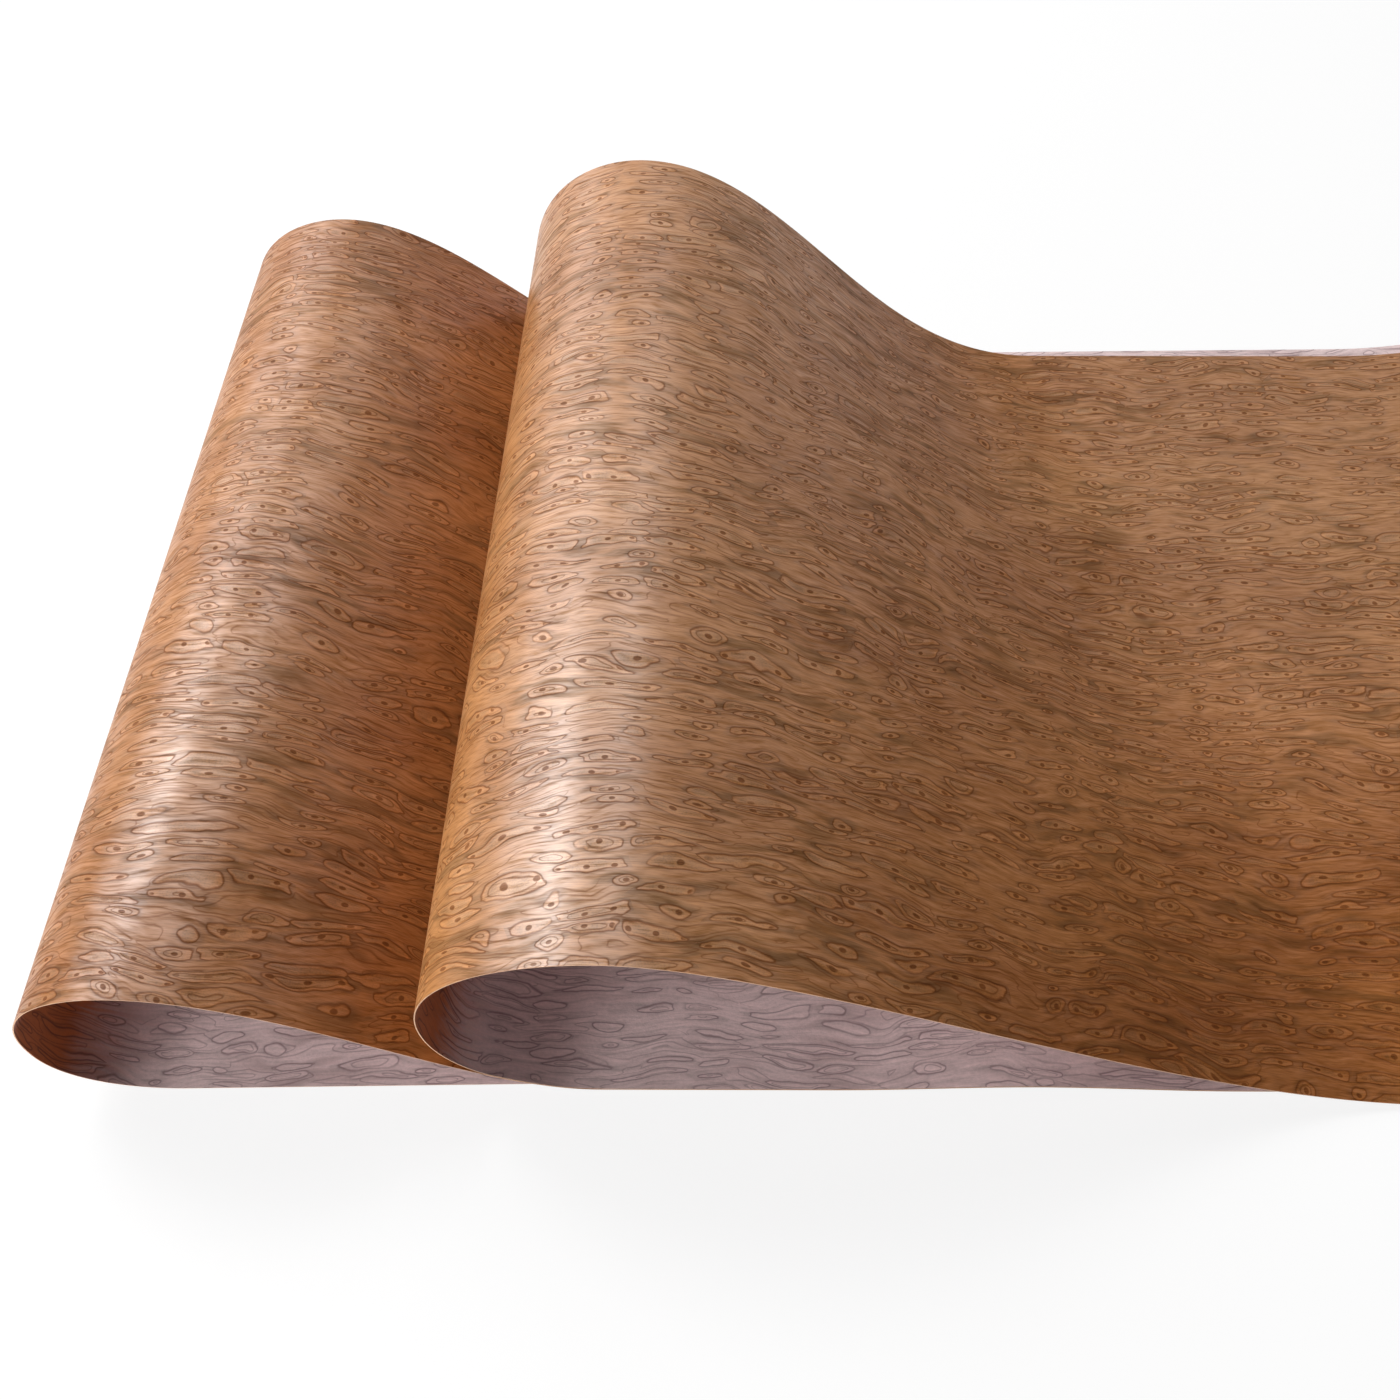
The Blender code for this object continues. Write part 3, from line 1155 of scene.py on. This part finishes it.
        spot = np.concatenate([grain.reshape(-1, 2)] * 2)[corners]
        depth = np.where(corners >= rows * columns, self.lay.thickness, 0.0)
        spot[..., 1] += np.where(is_edge[..., 0], depth, 0.0)
        layer = mesh.uv_layers.new(name=GRAIN_MAP)
        layer.uv.foreach_set("vector", spot.ravel())
        return mesh


@dataclass(frozen=True)
class Lamp:
    """A soft lamp that hangs facing the sheet.

    Attributes:
        name: The lamp's name.
        azimuth: Its direction from the sheet, in degrees from +X towards +Y.
        elevation: Its height above the horizon, in degrees.
        watts: Its power.
        width, height: Its size, in metres.
        distance: How far off it hangs, in metres.
    """

    name: str
    azimuth: float
    elevation: float
    watts: float
    width: float = 0.9
    height: float = 0.9
    distance: float = 2.4

    def hang(self) -> None:
        """Hangs the lamp in the scene."""
        data = bpy.data.lights.new(self.name, "AREA")
        data.energy, data.shape, data.size, data.size_y = self.watts, "RECTANGLE", self.width, self.height
        lamp = put(self.name, data)
        turn, rise = math.radians(self.azimuth), math.radians(self.elevation)
        level = math.cos(rise)
        way = Vector((level * math.cos(turn), level * math.sin(turn), math.sin(rise)))
        lamp.location = way * self.distance
        lamp.rotation_euler = way.to_track_quat("Z", "Y").to_euler()


@dataclass
class Studio:
    """The floor, the lights, the backdrop and the camera.

    Attributes:
        eye, turn: The camera's place, and its XYZ turn in degrees.
        lens, sensor: Its focal length and its sensor's width, in millimetres.
        shift: Its sideways shift, as a share of the frame.
        clip: The nearest and the furthest distance that it sees, in metres.
        floor_size, floor_tone: The floor's length, in metres, and its grey.
        floor_glow: How far it shows as pure white; 1 would hide the sheet's shadow.
        floor_fade: How far from the middle its fade to pure white starts and ends.
        sky: How strongly the surround lights the sheet.
        lamps: The lamps.
    """

    eye: tuple[float, float, float] = (-0.1572, -0.5233, 0.7312)
    turn: tuple[float, float, float] = (33.9754, 1.1640, 0.5511)
    lens: float = 34.97
    sensor: float = 36.0
    shift: float = -0.0411
    clip: tuple[float, float] = (0.01, 50.0)
    floor_size: float = 8.0
    floor_tone: float = 0.97
    floor_glow: float = 0.85
    floor_fade: tuple[float, float] = (0.8, 1.7)
    sky: float = 0.05
    lamps: tuple[Lamp, ...] = (
        Lamp("window", 150, 50, 22.8, 0.6, 0.6),
        Lamp("left", 160, 35, 16.6),
        Lamp("low_window", 135, 25, 6.7),
        Lamp("side_window", 125, 40, 4.2, 0.6, 0.6),
        Lamp("doorway", 225, 12, 51.0, 1.8, 0.9),
        Lamp("behind", 90, 48, 4.8),
        Lamp("ceiling", 110, 65, 13.3),
    )

    def build(self) -> None:
        """Sets up everything round the sheet."""
        self._camera()
        self._floor()
        self._backdrop()
        for lamp in self.lamps:
            lamp.hang()

    def _camera(self) -> None:
        """Places the camera."""
        data = bpy.data.cameras.new("camera")
        data.lens, data.sensor_width, data.shift_x = self.lens, self.sensor, self.shift
        data.clip_start, data.clip_end = self.clip
        camera = put("camera", data)
        camera.location = self.eye
        camera.rotation_euler = Euler(math.radians(angle) for angle in self.turn)
        bpy.context.scene.camera = camera
        bpy.context.scene.view_settings.view_transform = "Standard"

    def _floor(self) -> None:
        """Lays a plain pale floor."""
        reach = self.floor_size / 2
        mesh = bpy.data.meshes.new("floor")
        corners = [(-reach, -reach, 0), (reach, -reach, 0), (reach, reach, 0), (-reach, reach, 0)]
        mesh.from_pydata(corners, [], [(0, 1, 2, 3)])
        g = Graph(bpy.data.materials.new("floor"))
        grey = (self.floor_tone,) * 3
        mesh.materials.append(g.finish(Base_Color=grey, Roughness=1.0, Specular_IOR_Level=0.0))
        paint = Wire(g, g.shader.outputs["BSDF"])
        glow = g.add("Emission", {}, {"Color": WHITE, "Strength": 1.0})
        place = g.add("TexCoord", {}, {}, "Object")
        far = g.add("VectorMath", {"operation": "LENGTH"}, {0: place}, "Value").rise(*self.floor_fade)
        share = self.floor_glow + far * (1.0 - self.floor_glow)
        surface = g.add("MixShader", {}, {0: g.seen() * share, 1: paint, 2: glow})
        g.feed(g.tree.nodes["Material Output"].inputs["Surface"], surface)
        floor = put("floor", mesh)

    def _backdrop(self) -> None:
        """A surround that shows pure white and lights softly."""
        g = Graph(bpy.data.worlds.new("world"), "Background")
        strength = self.sky + g.seen() * (1.0 - self.sky)
        bpy.context.scene.world = g.finish(Color=WHITE, Strength=strength)


def main() -> None:
    """Builds the sheet and the studio."""
    logging.basicConfig(level=logging.INFO, format="%(name)s: %(message)s")
    for piece in VeneerSheet().build():
        LOG.info("%s: %d faces", piece.name, len(piece.data.polygons))
    Studio().build()


if __name__ == "__main__":
    main()
